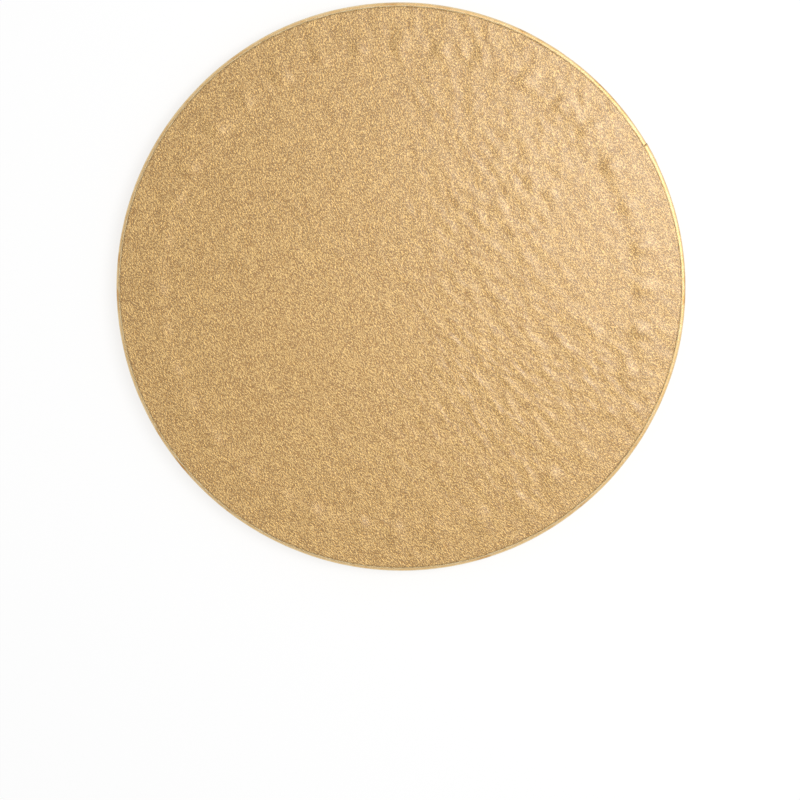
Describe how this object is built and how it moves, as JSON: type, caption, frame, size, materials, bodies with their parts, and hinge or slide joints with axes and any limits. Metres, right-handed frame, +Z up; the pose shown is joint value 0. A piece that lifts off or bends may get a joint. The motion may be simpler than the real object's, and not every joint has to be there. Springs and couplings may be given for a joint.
{
  "type": "cake board",
  "caption": "Round thick cake drum: a stiff board disc edged with gathered gold foil paper, faced with textured gold foil and lined with plain paper underneath.",
  "frame": {"origin": "on the surface that the board lies on, under the middle of the board", "axes": "+Z up, square to the board, out of the foil-covered face; the lap of the edging strip starts 27 degrees from +X towards +Y"},
  "size_m": [0.3048, 0.3048, 0.0135],
  "materials": {
    "face_foil": "satin gold foil, finely embossed",
    "edge_foil": "satin gold foil, finely embossed",
    "base_paper": "matt, uncoated",
    "core_board": "matt, uncoated"
  },
  "bodies": {
    "root": {"core_board": "core_board", "edge_band": "edge_foil", "face_foil": "face_foil", "base_paper": "base_paper"}
  },
  "joints": []
}
